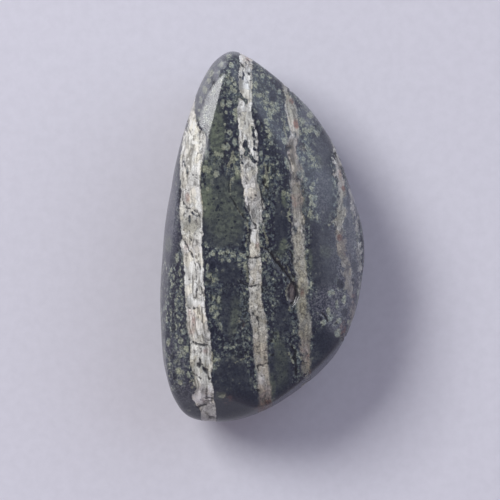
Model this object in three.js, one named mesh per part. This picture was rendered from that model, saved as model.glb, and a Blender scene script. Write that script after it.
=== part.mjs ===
// A tumbled serpentine pebble, in millimetres: +Z up, +Y along its length towards the narrow tip.
// The origin is under the middle of the bounding box, on the flat spot that the pebble rests on.
//
// The pebble is one solid. Rays leave a point inside it, its heart, in all directions. Each ray ends where
// it first meets the rounded body or one of the broad worn faces, and the edges between them are rounded.
import * as THREE from "three";
import { mergeVertices } from "three/addons/utils/BufferGeometryUtils.js";

// Driving dimensions.
const LENGTH = 40;
const WIDTH = 22;
const HEIGHT = 14;
const WAIST_HEIGHT = 6.2; // where the pebble is widest
const FACE_RADIUS = 150; // each worn face bulges like a patch of a ball of this size
const BASE_ROUNDING = 0.3; // between the flat spot underneath and the body

// The waist seen from above, anticlockwise from the tip.
const WAIST = [
  [-3.1, 20.0],
  [-4.8, 19.2],
  [-6.25, 17.2],
  [-7.95, 13.0],
  [-9.65, 6.6],
  [-10.65, 0.0],
  [-11.0, -8.0],
  [-10.45, -14.65],
  [-8.35, -19.3],
  [-4.2, -20.0],
  [0.9, -18.6],
  [5.9, -15.2],
  [9.2, -10.7],
  [10.9, -4.6],
  [10.8, 1.0],
  [8.85, 7.1],
  [7.75, 9.9],
  [5.5, 13.25],
  [1.0, 17.6],
];
const WAIST_SAMPLES = 1440;

// The body before the faces are worn on it: a squared-off ellipsoid over and under the waist. Its squareness
// changes from tip to heel, and a squareness of 2 is an ellipsoid and more is boxier.
const HEART = new THREE.Vector3(-0.6, -1.5, WAIST_HEIGHT);
const ABOVE = { rise: 9.5, tip: 3.6, heel: 3.8 };
const BELOW = { rise: 6.6, tip: 2.5, heel: 2.8 };

// The worn faces. Each passes through the point "at" and looks along its azimuth, anticlockwise from +X,
// and its tilt from straight up, both in degrees. Rounding is how much of its edges is worn over.
const FACES = [
  { name: "crown", azimuth: -35, tilt: 3.5, at: [-3.0, 3.0, 13.65], rounding: 0.5 },
  { name: "heel crown", azimuth: -80, tilt: 8, at: [-3.0, -12.0, 13.1], rounding: 0.8 },
  { name: "tip crown", azimuth: 54, tilt: 5, at: [-2.0, 15.5, 13.2], rounding: 0.5 },
  { name: "tip shoulder", azimuth: 161, tilt: 40, at: [-6.4, 13.8, 12.95], rounding: 0.25 },
  { name: "tip bevel", azimuth: 158, tilt: 22, at: [-5.3, 12.7, 13.5], rounding: 0.2 },
  { name: "left bevel", azimuth: 186, tilt: 24, at: [-6.5, 0.0, 13.68], rounding: 0.25 },
  { name: "right slope", azimuth: 3, tilt: 25, at: [7.6, -1.0, 11.5], rounding: 0.9 },
  { name: "upper right slope", azimuth: 33, tilt: 46, at: [6.1, 10.9, 9.4], rounding: 0.9 },
  { name: "lower right side", azimuth: -48, tilt: 80, at: [8.95, -12.0, 9.4], rounding: 0.9 },
  { name: "left side", azimuth: 178, tilt: 70, at: [-10.4, -4.0, 10.5], rounding: 0.8 },
  { name: "heel", azimuth: -108, tilt: 50, at: [-5.2, -18.5, 9.5], rounding: 0.9 },
  { name: "left underside", azimuth: 176, tilt: 138, at: [-7.6, -3.0, 1.6], rounding: 0.9 },
  { name: "right underside", azimuth: -4, tilt: 140, at: [7.4, -1.0, 1.6], rounding: 0.9 },
  { name: "tip underside", azimuth: 84, tilt: 132, at: [-1.6, 17.6, 2.6], rounding: 0.9 },
  { name: "heel underside", azimuth: -84, tilt: 134, at: [-3.0, -16.8, 2.2], rounding: 0.9 },
];

// Slow swells that keep the worn faces from being perfectly smooth: waves across the body, in mm.
const SWELLS = [
  { height: 0.05, length: 13, azimuth: 25, start: 0.4 },
  { height: 0.03, length: 7.5, azimuth: 110, start: 2.1 },
];

const ICOSPHERE_DETAIL = 19; // 20 × (19 + 1)² triangles

const radians = THREE.MathUtils.degToRad;

// The smaller of two lengths, with the change from one to the other rounded over.
function roundedMin(a, b, rounding) {
  const overlap = Math.max(rounding - Math.abs(a - b), 0) / rounding;
  return Math.min(a, b) - (overlap * overlap * rounding) / 4;
}

// Distances from the heart to the waist, at WAIST_SAMPLES equal angles that start from -180 degrees.
function measureWaist() {
  const corners = WAIST.map(([x, y]) => new THREE.Vector3(x - HEART.x, y - HEART.y, 0));
  const curve = new THREE.CatmullRomCurve3(corners, true, "centripetal");
  const points = curve.getPoints(4 * WAIST_SAMPLES).map((p) => ({
    angle: Math.atan2(p.y, p.x),
    reach: Math.hypot(p.x, p.y),
  }));
  points.sort((a, b) => a.angle - b.angle);
  let next = 0;
  return Array.from({ length: WAIST_SAMPLES }, (_, i) => {
    const angle = (2 * Math.PI * i) / WAIST_SAMPLES - Math.PI;
    while (next < points.length - 1 && points[next].angle < angle) next += 1;
    return points[next].reach;
  });
}

const waistReaches = measureWaist();

function waistReach(angle) {
  const place = ((angle + Math.PI) / (2 * Math.PI)) * WAIST_SAMPLES;
  const before = Math.floor(place);
  const a = waistReaches[before % WAIST_SAMPLES];
  const b = waistReaches[(before + 1) % WAIST_SAMPLES];
  return THREE.MathUtils.lerp(a, b, place - before);
}

// How far a ray from the heart runs inside the unworn body.
function bodyReach(ray) {
  const { rise, tip, heel } = ray.z > 0 ? ABOVE : BELOW;
  const squareness = THREE.MathUtils.lerp(heel, tip, (1 + ray.y) / 2);
  const across = Math.hypot(ray.x, ray.y) / waistReach(Math.atan2(ray.y, ray.x));
  const upright = Math.abs(ray.z) / rise;
  return 1 / (across ** squareness + upright ** squareness) ** (1 / squareness);
}

// The middle of the ball that a worn face is a patch of, as seen from the heart.
function ballCentre({ azimuth, tilt, at }) {
  const slant = Math.sin(radians(tilt));
  const outwards = new THREE.Vector3(
    slant * Math.cos(radians(azimuth)),
    slant * Math.sin(radians(azimuth)),
    Math.cos(radians(tilt)),
  );
  return new THREE.Vector3(...at).sub(HEART).addScaledVector(outwards, -FACE_RADIUS);
}

const balls = FACES.map((face) => ({ centre: ballCentre(face), rounding: face.rounding }));

// How far a ray from the heart runs before it leaves a ball.
function ballReach(ray, centre) {
  const towards = ray.dot(centre);
  return towards + Math.sqrt(towards ** 2 - centre.lengthSq() + FACE_RADIUS ** 2);
}

function swell(point) {
  return SWELLS.reduce((sum, { height, length, azimuth, start }) => {
    const along = point.x * Math.cos(radians(azimuth)) + point.y * Math.sin(radians(azimuth)) + point.z;
    return sum + height * Math.sin((2 * Math.PI * along) / length + start);
  }, 0);
}

function surfacePoint(ray) {
  let reach = bodyReach(ray);
  for (const { centre, rounding } of balls) reach = roundedMin(reach, ballReach(ray, centre), rounding);
  const point = ray.clone().multiplyScalar(reach);
  return point.addScaledVector(ray, swell(point)).add(HEART);
}

// Stretches the points to the driving dimensions, about the origin, and levels off the flat spot.
function fitToSize(points) {
  const box = new THREE.Box3().setFromPoints(points);
  const size = box.getSize(new THREE.Vector3());
  const middle = box.getCenter(new THREE.Vector3());
  const stretch = new THREE.Vector3(WIDTH / size.x, LENGTH / size.y, HEIGHT / box.max.z);
  for (const point of points) {
    point.set(point.x - middle.x, point.y - middle.y, point.z).multiply(stretch);
    point.z = -roundedMin(-point.z, 0, BASE_ROUNDING);
  }
}

function pebbleGeometry() {
  const sphere = new THREE.IcosahedronGeometry(1, ICOSPHERE_DETAIL);
  sphere.deleteAttribute("normal");
  sphere.deleteAttribute("uv");
  const geometry = mergeVertices(sphere, 1e-5);
  const position = geometry.getAttribute("position");
  const spread = new THREE.Vector3(WIDTH, LENGTH, HEIGHT);
  const points = Array.from({ length: position.count }, (_, i) =>
    surfacePoint(new THREE.Vector3().fromBufferAttribute(position, i).multiply(spread).normalize()),
  );
  fitToSize(points);
  points.forEach((point, i) => position.setXYZ(i, point.x, point.y, point.z));
  geometry.computeVertexNormals();
  return geometry;
}

const serpentine = new THREE.MeshStandardMaterial({ color: 0x39433d, roughness: 0.3, metalness: 0 });

const stone = new THREE.Mesh(pebbleGeometry(), serpentine);
stone.name = "serpentine_stone";

const pebble = new THREE.Group();
pebble.add(stone);

export default pebble;
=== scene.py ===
import math

import bpy
import numpy as np
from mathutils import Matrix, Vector, noise


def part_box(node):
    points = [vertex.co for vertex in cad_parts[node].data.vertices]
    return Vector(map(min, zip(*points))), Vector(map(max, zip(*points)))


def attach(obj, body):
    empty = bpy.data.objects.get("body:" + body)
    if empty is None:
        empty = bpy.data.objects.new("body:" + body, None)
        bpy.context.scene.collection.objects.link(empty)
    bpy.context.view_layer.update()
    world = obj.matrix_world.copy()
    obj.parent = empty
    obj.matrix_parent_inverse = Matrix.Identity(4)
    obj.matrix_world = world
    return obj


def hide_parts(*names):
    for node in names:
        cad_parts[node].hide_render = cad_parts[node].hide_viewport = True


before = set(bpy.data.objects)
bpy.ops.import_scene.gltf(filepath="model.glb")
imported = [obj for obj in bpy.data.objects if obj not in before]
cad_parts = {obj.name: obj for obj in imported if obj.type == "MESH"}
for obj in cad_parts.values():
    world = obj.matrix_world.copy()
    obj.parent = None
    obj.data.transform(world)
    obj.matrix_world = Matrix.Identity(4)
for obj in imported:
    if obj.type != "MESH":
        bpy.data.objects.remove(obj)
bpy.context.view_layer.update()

# A tumbled pebble of banded serpentine that lies on pale paper. One fine mesh takes the place of the CAD
# solid: it has the same worn form with crisper ridges, and the cracks, pits and fibres of the surface.
# Lengths are in mm and places in the CAD frame, until a mesh, a light or the camera is made in metres.

MM = 0.001
CAD_NODE = "serpentine_stone"
PIECE = "polished_serpentine"
WIDTH, LENGTH, HEIGHT = ((b - a) / MM for a, b in zip(*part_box(CAD_NODE)))

# Markings are placed by the photograph, which looks straight down: 500 pixels square, y downwards.
PIXEL = 0.1081  # mm of the stone under one pixel
PICTURE = 500
ORIGIN_X = 262.0  # the pixel above the CAD origin
ORIGIN_Y = 236.6


def add_object(name, data):
    thing = bpy.data.objects.new(name, data)
    bpy.context.scene.collection.objects.link(thing)
    return thing


# ----------------
# The worn form, as the CAD source works it out.

WAIST_HEIGHT = 6.2
FACE_RADIUS = 150
BASE_ROUNDING = 0.3
WAIST = [
    (-3.1, 20), (-4.8, 19.2), (-6.25, 17.2), (-7.95, 13), (-9.65, 6.6), (-10.65, 0), (-11, -8),
    (-10.45, -14.65), (-8.35, -19.3), (-4.2, -20), (0.9, -18.6), (5.9, -15.2), (9.2, -10.7), (10.9, -4.6),
    (10.8, 1), (8.85, 7.1), (7.75, 9.9), (5.5, 13.25), (1, 17.6),
]
HEART = np.array([-0.6, -1.5, WAIST_HEIGHT])
ABOVE = {"rise": 9.5, "tip": 3.6, "heel": 3.8}
BELOW = {"rise": 6.6, "tip": 2.5, "heel": 2.8}

# Azimuth and tilt in degrees, a point on the face, and how far its edges are worn over. The bevels are
# crisper here than in the CAD source, whose triangles are too large to show it.
FACES = {
    "crown": (-35, 3.5, (-3, 3, 13.65), 0.5),
    "heel crown": (-80, 8, (-3, -12, 13.1), 0.8),
    "tip crown": (54, 5, (-2, 15.5, 13.2), 0.5),
    "tip shoulder": (161, 40, (-6.4, 13.8, 12.95), 0.25),
    "tip bevel": (158, 22, (-5.3, 12.7, 13.47), 0.05),
    "left bevel": (186, 24, (-6.5, 0, 13.68), 0.12),
    "right slope": (3, 25, (7.6, -1, 11.5), 0.9),
    "upper right slope": (33, 46, (6.1, 10.9, 9.4), 0.9),
    "lower right side": (-48, 80, (8.95, -12, 9.4), 0.9),
    "left side": (178, 70, (-10.4, -4, 10.5), 0.8),
    "heel": (-108, 50, (-5.2, -18.5, 9.5), 0.9),
    "left underside": (176, 138, (-7.6, -3, 1.6), 0.9),
    "right underside": (-4, 140, (7.4, -1, 1.6), 0.9),
    "tip underside": (84, 132, (-1.6, 17.6, 2.6), 0.9),
    "heel underside": (-84, 134, (-3, -16.8, 2.2), 0.9),
}
SWELLS = [(0.05, 13, 25, 0.4), (0.03, 7.5, 110, 2.1)]  # height, length, azimuth, start


def rounded_min(a, b, rounding):
    overlap = np.maximum(rounding - np.abs(a - b), 0) / rounding
    return np.minimum(a, b) - overlap**2 * rounding / 4


def closed_curve(corners, steps=160):
    """A smooth closed curve through the corners: a centripetal Catmull-Rom spline."""
    t = np.linspace(0, 1, steps, endpoint=False)[:, None]
    parts = []
    for i in range(len(corners)):
        p0, p1, p2, p3 = (corners[(i + k) % len(corners)] for k in (-1, 0, 1, 2))
        gap0, gap1, gap2 = (math.dist(a, b) ** 0.5 for a, b in ((p0, p1), (p1, p2), (p2, p3)))
        leave = gap1 * ((p1 - p0) / gap0 - (p2 - p0) / (gap0 + gap1) + (p2 - p1) / gap1)
        arrive = gap1 * ((p2 - p1) / gap1 - (p3 - p1) / (gap1 + gap2) + (p3 - p2) / gap2)
        bend = -3 * p1 + 3 * p2 - 2 * leave - arrive
        turn = 2 * p1 - 2 * p2 + leave + arrive
        parts.append(p1 + leave * t + bend * t**2 + turn * t**3)
    return np.concatenate(parts)


def waist_reach(rays):
    """How far the waist is from the heart, in the direction of each ray seen from above."""
    curve = closed_curve(np.array(WAIST) - HEART[:2])
    angles = np.arctan2(curve[:, 1], curve[:, 0])
    order = np.argsort(angles)
    reaches = np.hypot(*curve.T)[order]
    return np.interp(np.arctan2(rays[:, 1], rays[:, 0]), angles[order], reaches, period=2 * math.pi)


def body_reach(rays):
    """How far each ray from the heart runs inside the unworn body."""
    above = rays[:, 2] > 0
    heel, tip, rise = (np.where(above, ABOVE[k], BELOW[k]) for k in ("heel", "tip", "rise"))
    squareness = heel + (tip - heel) * (1 + rays[:, 1]) / 2
    across = np.hypot(rays[:, 0], rays[:, 1]) / waist_reach(rays)
    upright = np.abs(rays[:, 2]) / rise
    return 1 / (across**squareness + upright**squareness) ** (1 / squareness)


def outwards(azimuth, tilt):
    azimuth, tilt = math.radians(azimuth), math.radians(tilt)
    slant = math.sin(tilt)
    return np.array([slant * math.cos(azimuth), slant * math.sin(azimuth), math.cos(tilt)])


def ball_reach(rays, azimuth, tilt, at):
    """How far each ray runs before it leaves the ball that a worn face is a patch of."""
    centre = np.array(at) - HEART - FACE_RADIUS * outwards(azimuth, tilt)
    towards = rays @ centre
    return towards + np.sqrt(towards**2 - centre @ centre + FACE_RADIUS**2)


def worn_form(rays):
    """The pebble's surface in those directions from its heart, stretched to its real size."""
    reach = body_reach(rays)
    for azimuth, tilt, at, rounding in FACES.values():
        reach = rounded_min(reach, ball_reach(rays, azimuth, tilt, at), rounding)
    points = rays * reach[:, None]
    swell = np.zeros(len(rays))
    for height, length, azimuth, start in SWELLS:
        across = outwards(azimuth, 90) + (0, 0, 1)
        swell += height * np.sin(2 * math.pi * (points @ across) / length + start)
    points += rays * swell[:, None] + HEART
    low, high = points.min(0), points.max(0)
    middle = (low + high) / 2 * (1, 1, 0)
    size = high - low
    points = (points - middle) * (WIDTH / size[0], LENGTH / size[1], HEIGHT / high[2])
    points[:, 2] = -rounded_min(-points[:, 2], 0, BASE_ROUNDING)
    return points


# ----------------
# The mesh: the CAD node's own triangles, divided, with more of them on top than underneath.

DIVISIONS = 2
CROWDING = 0.15  # how strongly the faces crowd towards the top
WELD_GAP = 0.002


def divided_copy():
    """A copy of the CAD node with its seams joined, smoothed and divided into small four-sided faces."""
    coarse = add_object("coarse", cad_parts[CAD_NODE].data.copy())
    weld = coarse.modifiers.new("weld", "WELD")
    weld.merge_threshold = WELD_GAP * MM
    divide = coarse.modifiers.new("divide", "SUBSURF")
    divide.levels = DIVISIONS
    depsgraph = bpy.context.evaluated_depsgraph_get()
    mesh = bpy.data.meshes.new_from_object(coarse.evaluated_get(depsgraph))
    bpy.data.objects.remove(coarse)
    mesh.materials.clear()
    return mesh


def crowded_rays(points):
    """Directions from the heart through the points, moved towards the top by a warp of the sphere that
    keeps every small shape on it (a Moebius transformation)."""
    spread = np.array([WIDTH, LENGTH, HEIGHT])
    ball = (points - HEART) / spread
    ball /= np.linalg.norm(ball, axis=1)[:, None]
    pull = np.array([0, 0, CROWDING])
    moved = ball + pull
    ball = moved * (1 - CROWDING**2) / (moved**2).sum(1)[:, None] + pull
    rays = ball * spread
    return rays / np.linalg.norm(rays, axis=1)[:, None]


def read_vectors(mesh, name):
    flat = np.zeros(3 * len(mesh.vertices))
    mesh.vertices.foreach_get(name, flat)
    return flat.reshape(-1, 3)


def write_points(mesh, points):
    mesh.vertices.foreach_set("co", (points * MM).ravel())
    mesh.update()


# ----------------
# The pale seams. Each is a sheet of fibres that runs through the whole stone. A row gives, for one height in
# the picture, its left edge, its width, and how pale, pink and olive it is out of 10, up to the last above 0.

SILVER_SEAM = [
    (92, 194.6, 0.8, 9, 6), (103, 192.6, 3, 10, 2), (112, 190, 4.6, 10), (120, 187.2, 9.4, 9, 0, 1),
    (128, 184.4, 14, 8.2, 0, 1), (135, 182.8, 23, 8.8, 0, 1), (142, 182.8, 24, 8.4, 0, 1),
    (150, 182.4, 23.6, 8.2), (158, 180.6, 22.6, 9, 0, 1), (165, 180.4, 21.8, 8.6), (178, 181, 20, 7.6),
    (190, 182, 18.8, 6.6, 1), (203, 180.6, 22.8, 7.4), (213, 180.4, 23.4, 7.2), (222, 181, 22, 7, 0, 1),
    (236, 182.4, 20.8, 9.2, 0, 1), (246, 181, 21.2, 8.5, 2), (258, 184.2, 19, 8.4), (270, 185.2, 19.6, 8.2),
    (285, 185.4, 19, 8), (300, 186, 19.6, 9.7), (315, 187, 19.4, 10, 1.5, 1),
    (327, 187.2, 21.4, 7.8, 2, 1.5), (334, 189, 21.2, 6.4), (341, 191, 20, 7.5), (348, 190.4, 22.2, 8),
    (357, 189.6, 23.2, 8, 0, 1), (364, 191, 22.2, 7.5, 0, 1.5), (372, 191.8, 20, 8, 0, 1),
    (378, 192.6, 19, 8.5, 0, 1), (386, 195, 18.2, 8), (391, 192.6, 21, 8.5, 1), (398, 192.6, 21.2, 9.7, 2),
    (406, 198.4, 17.4, 7.5, 1), (414, 201.2, 15.2, 7, 1), (424, 202, 14, 6.5, 1),
]
CREAM_SEAM = [
    (50, 240.2, 8.8, 9.5, 2), (58, 239.6, 13, 10, 3), (66, 240.4, 12.4, 9, 2), (75, 239, 13.4, 8.5),
    (84, 238.6, 13.8, 8.5), (93, 239.6, 12.4, 9.5), (103, 239, 13.2, 8.5), (111, 237.2, 13.8, 7.7),
    (120, 238, 14.4, 7.7, 0, 1), (128, 239.2, 16.4, 8, 0, 1), (140, 238.8, 19.2, 8), (150, 238.6, 18.8, 8),
    (160, 240.2, 17.4, 7.5), (170, 240.6, 16.8, 7.5), (178, 240.8, 15.4, 7.7, 1), (189, 243.4, 15.4, 8.2, 2),
    (198, 244, 16.6, 7.8, 2), (206, 245.6, 19.2, 7, 1), (216, 250, 13, 5.5), (226, 251.6, 12, 5.8),
    (236, 250.4, 8.6, 7, 1), (246, 249.6, 9.8, 6.8, 1, 1), (256, 249, 11, 8, 1, 1.2),
    (264, 249, 12.2, 8, 1, 1.2), (278, 249.4, 12.4, 7.9, 1.5, 1.2), (292, 249.4, 12, 6.2, 1, 2),
    (303, 248.8, 13.2, 7.5, 1.5, 2), (311, 249.2, 14.8, 6.6, 1.5, 2), (319, 250.4, 16.2, 6, 1.5, 2),
    (330, 253.2, 13.6, 5.7, 2.5, 3), (345, 253, 14.4, 5.4, 3.5, 2.5), (358, 253.8, 13.6, 5.2, 3.5, 2),
    (368, 256, 12.4, 4.4, 3, 1), (378, 257.2, 12.6, 4.1, 2), (388, 258.6, 12.6, 3, 5),
    (400, 259.4, 12.6, 1.5, 9), (412, 258.6, 13.4, 1.5, 10),
]
BEIGE_SEAM = [
    (82, 281.6, 4.4, 2.2, 3, 2), (90, 283.4, 4, 5, 2, 2), (97, 284, 6.6, 5.5, 2, 5),
    (101, 284.4, 9, 5.5, 3, 3), (107, 284.6, 11.4, 6.4, 0, 3), (114, 286, 11.2, 6.8, 0, 3),
    (121, 287.8, 10.4, 6.6, 2, 2), (128, 289.8, 9.2, 6.6, 2, 1), (136, 290.8, 8.4, 6.2, 2, 1),
    (142, 286.6, 12, 3.2, 4, 1), (147, 286, 12, 2.2, 4, 1), (153, 286.2, 10.8, 2.8, 5, 1),
    (160, 288.4, 10.2, 3.8, 3, 1), (170, 289, 13.2, 4, 3, 1), (180, 289.4, 12.8, 4, 4, 1),
    (190, 290.4, 12.2, 4.2, 3, 3), (200, 290.6, 13, 4.6, 7, 3), (210, 291.2, 11.6, 4.6, 4, 1),
    (220, 292, 11.4, 4.4, 1, 1), (231, 291.8, 12, 4.5, 1, 1), (240, 291, 13, 4.6, 1, 2.5),
    (252, 293.6, 10.2, 5, 1, 2.5), (264, 292.6, 12.2, 5, 1, 3), (274, 295.4, 10.4, 4.7, 0, 3.5),
    (285, 296.8, 11, 2.9, 1, 4), (294, 297, 10.6, 3.6, 2, 5), (303, 295.8, 11.8, 4.2, 0, 5),
    (312, 296.4, 12, 3.2, 0, 4), (322, 299, 12, 3, 0, 2), (334, 298.6, 11.8, 1.4, 1, 3),
    (346, 299.4, 10, 2.5, 6), (358, 299, 10.4, 2.7, 6, 1), (369, 301, 9.6, 2.4, 2, 3),
    (380, 301.6, 8, 2.4, 1, 3), (392, 300.4, 6.2, 2.5, 4, 1),
]
TAN_SEAM = [
    (142, 331, 3, 5, 1, 2), (152, 331.8, 8.2, 9.5, 1, 2), (160, 332.4, 9, 8, 2, 1),
    (168, 332.4, 10.4, 7.4, 3, 1), (175, 332.8, 11.4, 6.8, 4), (182, 336.6, 8.2, 5.5, 4),
    (195, 337.4, 8.6, 4.8, 1, 1), (205, 337.2, 8.2, 3.8, 0, 2), (215, 335.6, 9.6, 4.2, 0, 3),
    (222, 331, 12.4, 5, 0, 3), (231, 334, 8.6, 5, 2, 2), (240, 335, 10.6, 3, 4, 1),
    (250, 335.2, 12.2, 2.8, 3, 2), (262, 340.6, 9.6, 4.6, 2, 3), (275, 341.8, 8.6, 4.4, 3, 2),
    (285, 343.8, 8, 4.2, 2, 2), (300, 349.4, 5.6, 4.6, 5, 1), (318, 348.6, 6.2, 4.6, 4, 2),
]
RIM_SEAM = [
    (172, 345.6, 1.4, 4.5), (188, 347.6, 5.8, 8, 1), (200, 348.6, 6.8, 7.6, 2, 1),
    (214, 352.8, 5, 5.5, 2, 1), (228, 354.2, 4.4, 5, 1, 1), (244, 355.8, 4.2, 5, 0, 1),
    (262, 357.6, 3.2, 5, 0, 1), (284, 358.4, 3.6, 5, 0, 1), (300, 357.6, 2.8, 4, 0, 1),
]
# Each seam, how far its edges wander in and out in mm, and how broken it is from 0 to 1.
SEAMS = [
    (SILVER_SEAM, 0.04, 0), (CREAM_SEAM, 0.05, 0), (BEIGE_SEAM, 0.08, 0.03), (TAN_SEAM, 0.25, 0.42),
    (RIM_SEAM, 0.2, 0.45),
]
SEAM_LEAN = 0.22  # how far the sheets lean to the right, in mm for each mm below the waist

# Lines: width in pixels, x and y of the start, and the step to each next corner.
STRANDS = [  # thin and pale, outside the seams
    (3, 233.4, 153.5, -1.5, 7.5, -3.9, 6.2), (1.1, 233, 175.8, -2.6, 10, 0.4, 10.9),
    (1.2, 237, 207.5, 2.6, 4.5, 2.6, 3.8),
    (2.2, 264, 163.5, 1.4, 6.5, 1.3, 7.5, -1.3, 6.5, -2.1, 5.2, -1.6, 3.3),
    (2.8, 246, 262, 1.6, 8, -0.2, 11), (1.4, 214.8, 174, 4.6, 3.4), (1.4, 234, 362.5, 6, -3, 10, -5),
    (1.4, 259, 245.4, 3.9, 2, 5, 6.2, 3.3, 5.8), (1.2, 265.6, 255, -0.4, 4, 1.8, 3.4),
    (2.2, 276.6, 259.2, 0.8, 0.6), (1.3, 285.6, 264.6, 3, 5.8, 3.4, 6.6, 2.2, 3.6),
    (2.2, 292.2, 281.8, -3.8, 3.2, -2.2, 4.4, -0.2, 4.6, 1.2, 5), (1.2, 350.2, 209, 2.2, 8, 1.4, 8),
    (1.2, 356.2, 232, 1.2, 12), (1.4, 289.4, 309.6, 0.2, -3.8, 2.6, -2.2),
    (2, 284.8, 122, -1, 8, 1.4, 6, 1.8, 5), (1.6, 247.5, 222, 1, 10, -1, 8, -1, 6),
    (2.2, 263, 226, 1.5, 8, 3.5, 9), (1.6, 289, 209, -1, 7, 3, 8), (1.5, 328, 226, 3, -3.4, 5, -3.6),
    (2, 303, 285, 3, 4), (1.6, 288.5, 352, 2.5, 5, 2, 5), (1.7, 190.4, 381, 2.8, -2.6, 3.4, 1, 1.6, 3.6),
    (1.6, 192.2, 386.4, 2.4, -2.8, 2.4, 2.4),
]
GAPS = [  # dark, inside the seams
    (4, 240.5, 97, 2.5, 3.5, 3.5, 3), (1.8, 243.2, 70, 0.4, 6, -1, 5), (3.6, 245.4, 143, 1, 7, -0.2, 5),
    (2.2, 253.5, 141, 1, 9), (2.2, 241.6, 157, 0.8, 8), (3.4, 250.8, 158, 4.6, 4.5),
    (3.2, 252.6, 128.5, 1.2, 4.5, 0.6, 5), (2.4, 187.2, 122, -0.6, 9), (1.8, 184.6, 163, 1.8, 5, 1.8, 6),
    (2.4, 294.4, 134, 1.2, 3), (3.4, 262, 226, -2.4, 9, 1.8, 8), (3, 301.2, 172, -2.2, 7),
    (2.6, 290.2, 215, 0.6, 6), (3, 293.4, 228, 2, 3), (3.4, 298.4, 337, 1.2, 6), (3, 301.8, 372, 0.6, 8),
    (2, 199.6, 362, 0, 4), (2.4, 203.6, 366, 3, 5), (2.6, 190.8, 217, -0.2, 5), (2.4, 192.4, 213, 5.2, 3.4),
]
SILK_HIGHLIGHTS = [  # white fibre lines, lightened further as painted highlight where the seams' fibres catch the light
    (2.6, 193.6, 112, 1, 10, -0.2, 12, 1.6, 9, 2.4, 9, 1, 11, 0.2, 12),
    (1.8, 190.4, 118, -0.4, 10, 2, 10, 2, 6), (1.6, 184.4, 137, -0.4, 11, 2, 10),
    (1.6, 186.4, 150, 2, 10, 1.2, 10), (1.3, 183, 172, 4, 3, 2, 3), (1.6, 199.4, 188, 0.6, 12, 1.6, 12),
    (1.2, 193.4, 190, 0.4, 12), (1.6, 200.6, 226, 0.2, 12, 1, 12, 1, 12), (1.2, 195.4, 254, 1.8, 8, 0.4, 10),
    (1.4, 203.8, 282, 1.2, 14, 0.4, 9), (1.3, 199.2, 311, 1.2, 11, 1.6, 10), (1.3, 205.8, 312, 0.6, 10),
    (1.3, 200, 352, 3, 10, 3.6, 8), (1.2, 239.2, 120, 1.2, 10, 0.2, 12, -0.4, 10),
    (1.4, 240.4, 158, 0.2, 9, 1.6, 12, 2.8, 10, 1, 11, 3.4, 10, 2.2, 9), (1.2, 256.4, 138, 1, 12, 0.4, 12),
    (1.3, 246, 142, 3, 6, 3.4, 4), (1.4, 256.4, 226, -2.4, 6, -1.6, 8),
    (1.6, 284.9, 104, 1.7, 9, 1.6, 7, 2.4, 9, 1.8, 8), (1.8, 287.2, 151, 0.6, 5, 1.8, 5, 2.2, 5, 0.6, 7),
    (1.2, 303.4, 208, -0.8, 8, 0.8, 8), (1.6, 201.6, 138, -0.6, 8, -0.4, 8), (1, 299.4, 212, 1, 10, 1, 10),
]

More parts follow.
